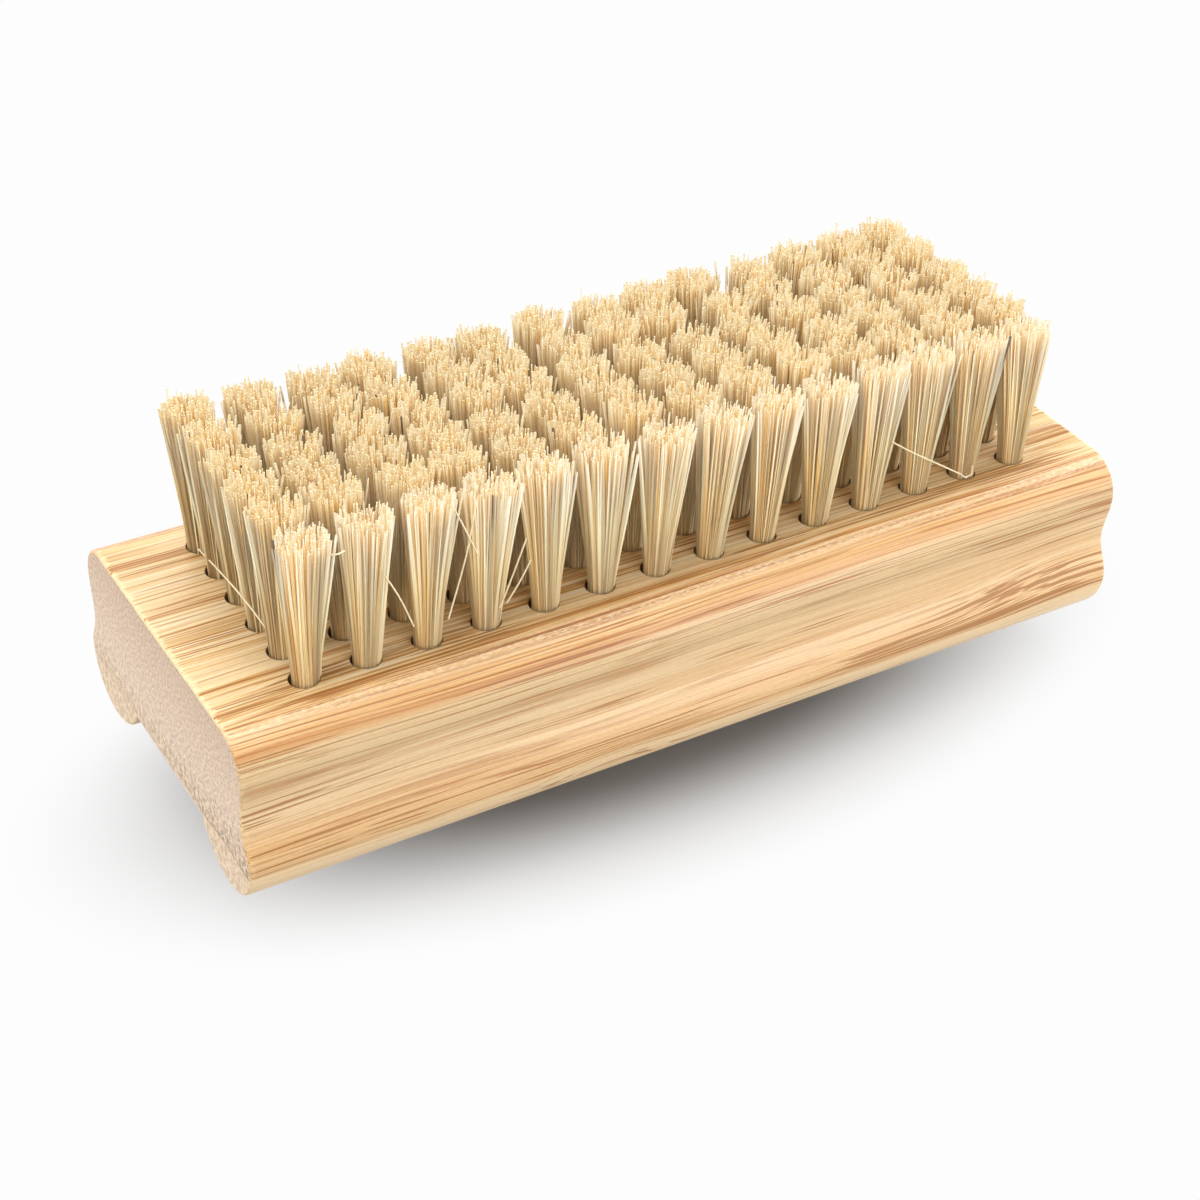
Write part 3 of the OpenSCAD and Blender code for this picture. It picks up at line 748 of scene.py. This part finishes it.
def plant_fibre_material():
    """Each fibre keeps one tone across the map and changes from root to tip up it."""
    material, tree, surface = new_material("plant_fibre")
    chart = place_node(tree, "ShaderNodeUVMap", uv_map="OFBake").outputs["UV"]
    parts = place_node(tree, "ShaderNodeSeparateXYZ", {0: chart})
    tone = parts.outputs["X"]
    along = parts.outputs["Y"]
    fibre = tone_scale(tree, tone, [
        (0.0, shade(243, 214, 156)), (0.2, shade(251, 233, 182)),
        (0.45, shade(253, 238, 194)), (0.75, shade(255, 248, 214)),
        (1.0, shade(255, 253, 234))])
    # Paler towards the tips: partly the fibres' own tone, partly a painted highlight for tips that
    # face the lamps.
    tip = ranged(tree, along, 0.4, 0.9, 0.0, 0.7)
    fibre = blend_colours(tree, tip, fibre, shade(255, 255, 246))
    place = place_node(tree, "ShaderNodeTexCoord").outputs["Object"]
    here = place_node(tree, "ShaderNodeSeparateXYZ", {0: place}).outputs
    # Painted shade: the tips of the rows behind the front one are made darker and more golden, for
    # the shade and the warm light thrown between the tufts.
    painted_back_row_shade = maths(tree, "MULTIPLY", ranged(tree, along, 0.6, 1.0, 0.0, 0.28),
                  ranged(tree, here["Y"], -9.3 * MM, -8.9 * MM))
    fibre = blend_colours(tree, painted_back_row_shade, fibre, shade(250, 225, 144))
    # The very ends are darker: partly the cut fibre's own colour, partly painted shade on the cut
    # faces that face the lamps above.
    cut_end_and_shade = ranged(tree, along, 0.982, 0.998, 0.0, 0.4)
    fibre = blend_colours(tree, cut_end_and_shade, fibre, shade(232, 214, 162))
    # Darker at the roots: partly the fibres' own tone, partly painted shade low down between the
    # tufts.
    root = ranged(tree, along, 0.0, 0.45, 0.6, 0.0)
    fibre = blend_colours(tree, root, fibre, shade(206, 176, 124))
    dark = maths(tree, "MULTIPLY", ranged(tree, tone, 0.955, 0.956, 0.0, 0.85),
                 ranged(tree, along, 0.72, 0.88, 0.2, 1.0))
    fibre = blend_colours(tree, dark, fibre, shade(84, 56, 36))
    tree.links.new(fibre, surface.inputs["Base Color"])
    surface.inputs["Roughness"].default_value = 0.6
    surface.inputs["Diffuse Roughness"].default_value = 1.0
    surface.inputs["Specular IOR Level"].default_value = 0.3
    surface.inputs["Sheen Weight"].default_value = 1.0
    surface.inputs["Sheen Roughness"].default_value = 0.5
    surface.inputs["Sheen Tint"].default_value = shade(255, 238, 198)

    # A fibre scatters light along itself, so it is lit partly from the side of its tips
    facing = place_node(tree, "ShaderNodeNewGeometry").outputs["Normal"]
    tips_way = maths(tree, "SIGN", maths(tree, "SUBTRACT", here["Z"], 12 * MM))
    tips_pull = maths(tree, "MULTIPLY", tips_way, 0.4)
    outwards = place_node(tree, "ShaderNodeCombineXYZ", {"Z": tips_pull})
    lit = place_node(tree, "ShaderNodeVectorMath", {0: facing, 1: outwards.outputs[0]},
                     operation="ADD").outputs["Vector"]
    lit = place_node(tree, "ShaderNodeVectorMath", {0: lit},
                     operation="NORMALIZE").outputs["Vector"]
    tree.links.new(lit, surface.inputs["Normal"])

    # Light passes through the thin fibres and turns golden between them
    ray = place_node(tree, "ShaderNodeLightPath").outputs
    passing = maths(tree, "MULTIPLY", maths(tree, "MAXIMUM", ray["Is Shadow Ray"],
                                            ray["Is Diffuse Ray"]), 0.93)
    through = place_node(tree, "ShaderNodeBsdfTransparent", {"Color": (1.0, 0.87, 0.60, 1.0)})
    both = place_node(tree, "ShaderNodeMixShader", {
        "Fac": passing, 1: surface.outputs["BSDF"], 2: through.outputs[0]})
    tree.links.new(both.outputs[0], tree.nodes["Material Output"].inputs["Surface"])
    return material


plant_fibre = plant_fibre_material()
tuft_row = tuft_tree(plant_fibre)


def make_tuft_row(name, node, values):
    """One row of fibres in place of its row of solids."""
    piece = new_piece(name, bpy.data.meshes.new(name))
    fit_tree(piece, tuft_row, values)
    settle(piece)
    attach(piece, "root")
    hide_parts(node)


top_tip_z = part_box("top_tufts_row_1")[1].z
for row in range(1, top_rows + 1):
    make_tuft_row(f"top_fibres_row_{row}", f"top_tufts_row_{row}", {
        "Tufts": top_columns, "Pitch": top_pitch,
        "Row Place": (row - (top_rows + 1) / 2) * row_pitch, "Fibres": 205,
        "Pieces": fibre_pieces, "Fibre Radius": fibre_radius, "Root Radius": root_radius,
        "Tip Width": 4.9 * MM, "Tip Depth": 4.3 * MM, "Floor Height": top_z - top_hole_depth,
        "Mouth Height": top_z, "Tip Height": top_tip_z, "Longer": 0.9 * MM,
        "Shorter": 1.2 * MM, "Seed": 100 * row})

for order, side in enumerate(("front", "back")):
    make_tuft_row(f"under_fibres_{side}_row", f"under_tufts_{side}_row", {
        "Tufts": under_columns, "Pitch": top_pitch,
        "Row Place": (order - 0.5) * under_row_gap, "Fibres": 165,
        "Pieces": fibre_pieces, "Fibre Radius": fibre_radius, "Root Radius": root_radius,
        "Tip Width": 3.8 * MM, "Tip Depth": 3.5 * MM,
        "Floor Height": recess_z + under_hole_depth, "Mouth Height": recess_z,
        "Tip Height": 0.0, "Longer": 0.0, "Shorter": 0.5 * MM, "Seed": 1000 + 100 * order})

# The loose fibres
# A few fibres that slipped out of their bundles and lie across the feet of the others, as split
# plant fibre does on a new brush.


def loose_tree(material):
    """Rounds each path of edges off and makes it a fibre of one pale tone."""
    tree, given, result = new_tree(
        "loose_fibres", "GeometryNodeTree",
        [("Paths", "NodeSocketGeometry"), ("Fibre Radius", "NodeSocketFloat")],
        [("Fibres", "NodeSocketGeometry")])
    paths = place_node(tree, "GeometryNodeMeshToCurve", {"Mesh": given.outputs["Paths"]})
    bent = place_node(tree, "GeometryNodeCurveSplineType", {"Curve": paths.outputs[0]},
                      spline_type="CATMULL_ROM")
    cut = place_node(tree, "GeometryNodeResampleCurve", {"Curve": bent.outputs[0], "Count": 14})
    section = place_node(tree, "GeometryNodeCurvePrimitiveCircle", {
        "Resolution": 5, "Radius": given.outputs["Fibre Radius"]})
    solid = place_node(tree, "GeometryNodeCurveToMesh", {
        "Curve": cut.outputs[0], "Profile Curve": section.outputs["Curve"], "Fill Caps": True})
    mapped = place_node(tree, "GeometryNodeStoreNamedAttribute", {
        "Geometry": solid.outputs[0], "Name": "OFBake"}, data_type="FLOAT2", domain="CORNER")
    value = next(s for s in mapped.inputs if s.name == "Value" and s.enabled)
    pale = place_node(tree, "ShaderNodeCombineXYZ", {"X": 0.45, "Y": 0.6})
    tree.links.new(pale.outputs[0], value)
    real = place_node(tree, "GeometryNodeRealizeInstances", {"Geometry": mapped.outputs[0]})
    dressed = place_node(tree, "GeometryNodeSetMaterial", {
        "Geometry": real.outputs[0], "Material": material})
    tree.links.new(dressed.outputs[0], result.inputs["Fibres"])
    return tree


def make_loose_fibres(paths):
    """One piece from several paths, each a list of places in millimetres."""
    mesh = bpy.data.meshes.new("loose_fibres")
    places = []
    links = []
    for path in paths:
        first = len(places)
        places += [Vector(point) * MM for point in path]
        links += [(i, i + 1) for i in range(first, len(places) - 1)]
    mesh.from_pydata(places, links, [])
    piece = new_piece("loose_fibres", mesh)
    fit_tree(piece, loose_tree(plant_fibre), {"Fibre Radius": 0.085 * MM})
    settle(piece)
    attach(piece, "root")


make_loose_fibres([
    [(-39.3, 9.9, 23.9), (-39.8, 4.7, 25.4), (-40.1, 0.0, 26.4), (-40.1, -3.8, 26.6),
     (-39.7, -6.2, 25.7)],
    [(-32.0, -13.3, 33.9), (-30.0, -12.8, 30.0), (-28.3, -12.2, 25.8)],
    [(-36.4, -13.2, 36.6), (-35.9, -13.6, 36.8), (-35.1, -13.2, 36.6)],
    [(22.3, -12.6, 30.4), (24.7, -13.4, 28.8), (26.8, -13.5, 27.4), (31.1, -13.2, 24.4),
     (31.9, -13.2, 23.7), (32.7, -12.9, 23.9), (32.6, -12.9, 24.8)],
    [(-25.1, -12.6, 25.8), (-23.6, -13.0, 32.2), (-22.8, -13.4, 37.9)],
    [(-22.5, -13.2, 32.1), (-23.8, -13.4, 35.2), (-24.8, -13.2, 37.6)],
    [(-20.1, -12.8, 25.4), (-18.9, -13.0, 28.8), (-18.0, -13.6, 32.6)],
    [(-19.4, -12.8, 25.7), (-18.2, -13.0, 27.8), (-17.5, -13.6, 30.2)]])

# The anchors
# Short pieces of flat steel wire that hold the folded fibres down at the bottom of each hole.
# They stay as the CAD model has them, hidden in the wood.


def anchor_wire_material():
    """Drawn steel, with fine lines along X."""
    material, tree, surface = new_material("anchor_wire")
    here = place_node(tree, "ShaderNodeTexCoord").outputs["Object"]
    drawn = place_node(tree, "ShaderNodeTexNoise", {
        "Vector": stretched(tree, here, (400.0, 9000.0, 9000.0)), "Scale": 1.0, "Detail": 2.0})
    tree.links.new(tone_scale(tree, drawn.outputs["Fac"], [
        (0.3, shade(150, 148, 146)), (0.7, shade(196, 194, 190))]), surface.inputs["Base Color"])
    surface.inputs["Metallic"].default_value = 1.0
    tree.links.new(ranged(tree, drawn.outputs["Fac"], 0.3, 0.7, 0.28, 0.42),
                   surface.inputs["Roughness"])
    return material


anchor_wire = anchor_wire_material()
for name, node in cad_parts.items():
    if "anchors" in name:
        for slot in node.material_slots:
            slot.material = anchor_wire

# The table top, the lights and the camera
# A sheet of grey paper that fades to a white glow away from the brush, so that the grey round the
# brush is painted shade as well as cast shadow, under a wide soft light with low lamps at both
# ends and in front. The camera looks from the left end and above, from the place that was fitted
# to the photograph.


def make_floor():
    """A square sheet six metres wide, at the height that the brush stands on."""
    reach = 3.0
    shape = bmesh.new()
    corners = [shape.verts.new((x * reach, y * reach, 0))
               for x, y in ((-1, -1), (1, -1), (1, 1), (-1, 1))]
    shape.faces.new(corners)
    mesh = bpy.data.meshes.new("floor")
    shape.to_mesh(mesh)
    shape.free()
    return new_piece("floor", mesh)


def floor_material():
    """Grey paper that shows the shadow near the brush and fades to plain white away from it.
    The grey left round the brush is painted shade as well as the lamps' shadow.

    The fade is for the camera and for mirror images, so it adds no light to the brush.
    """
    material, tree, surface = new_material("grey_paper_white_glow")
    surface.inputs["Base Color"].default_value = (0.42, 0.42, 0.42, 1)
    surface.inputs["Roughness"].default_value = 0.9
    surface.inputs["Specular IOR Level"].default_value = 0.1
    glow = place_node(tree, "ShaderNodeEmission", {"Color": shade(253, 253, 253), "Strength": 1.0})
    here = place_node(tree, "ShaderNodeTexCoord").outputs["Object"]
    flat = place_node(tree, "ShaderNodeVectorMath", {0: here, 1: (0.88, 1.85, 0.0)},
                      operation="MULTIPLY")
    away = place_node(tree, "ShaderNodeVectorMath", {0: flat.outputs["Vector"]},
                      operation="LENGTH")
    fade = place_node(tree, "ShaderNodeMapRange", {
        "Value": away.outputs["Value"], "From Min": 23 * MM, "From Max": 58 * MM},
        interpolation_type="SMOOTHSTEP").outputs["Result"]
    ray = place_node(tree, "ShaderNodeLightPath").outputs
    seen = maths(tree, "MAXIMUM", ray["Is Camera Ray"],
                 maths(tree, "MAXIMUM", ray["Is Glossy Ray"], ray["Is Transmission Ray"]))
    share = maths(tree, "MULTIPLY", fade, seen)
    mix = place_node(tree, "ShaderNodeMixShader", {
        "Fac": share, 1: surface.outputs["BSDF"], 2: glow.outputs["Emission"]})
    tree.links.new(mix.outputs[0], tree.nodes["Material Output"].inputs["Surface"])
    return material


floor = make_floor()
floor.data.materials.append(floor_material())

world = bpy.data.worlds.new("soft_room")
world.use_nodes = True
room = world.node_tree
sky = room.nodes["Background"]
sky.inputs["Color"].default_value = (1.0, 1.0, 1.0, 1)
seen_directly = place_node(room, "ShaderNodeLightPath").outputs["Is Camera Ray"]
room_light, white = 0.28, 0.98
room.links.new(ranged(room, seen_directly, 0.0, 1.0, room_light, white), sky.inputs["Strength"])
bpy.context.scene.world = world


def add_lamp(name, place, aim, size, power):
    """A round soft lamp of a width in metres and a power in watts, turned to its aim."""
    light = bpy.data.lights.new(name, "AREA")
    light.shape = "DISK"
    light.size = size
    light.energy = power
    lamp = bpy.data.objects.new(name, light)
    lamp.location = place
    lamp.rotation_euler = (Vector(aim) - Vector(place)).to_track_quat("-Z", "Y").to_euler()
    bpy.context.scene.collection.objects.link(lamp)


middle = (0.0, 0.0, 15 * MM)
add_lamp("soft_above", (0.0, 0.0, 0.98), middle, 2.0, 10.8)
add_lamp("soft_back", (0.0, 0.75, 0.75), middle, 0.9, 4.4)
add_lamp("key_above_right", (0.43, 0.09, 0.90), middle, 0.36, 1.2)
add_lamp("fill_left", (-1.03, 0.12, 0.52), middle, 0.7, 8.0)
add_lamp("fill_right", (1.12, 0.25, 0.36), middle, 0.7, 7.5)
add_lamp("fill_front", (0.36, -0.66, 0.14), middle, 0.45, 4.2)

camera_place = Vector((-101.94, -161.44, 149.63)) * MM
camera_aim = Vector((-1.885, -0.237, 12.0)) * MM
camera_roll = math.radians(2.422)
lens = bpy.data.cameras.new("camera")
lens.sensor_width = 36
lens.lens = 71.11
lens.clip_start = 0.01
camera = bpy.data.objects.new("camera", lens)
bpy.context.scene.collection.objects.link(camera)
look = (camera_aim - camera_place).to_track_quat("-Z", "Y").to_matrix()
camera.matrix_world = Matrix.Translation(camera_place) @ (
    look @ Matrix.Rotation(camera_roll, 3, "Z")).to_4x4()
bpy.context.scene.camera = camera
bpy.context.scene.view_settings.view_transform = "Standard"
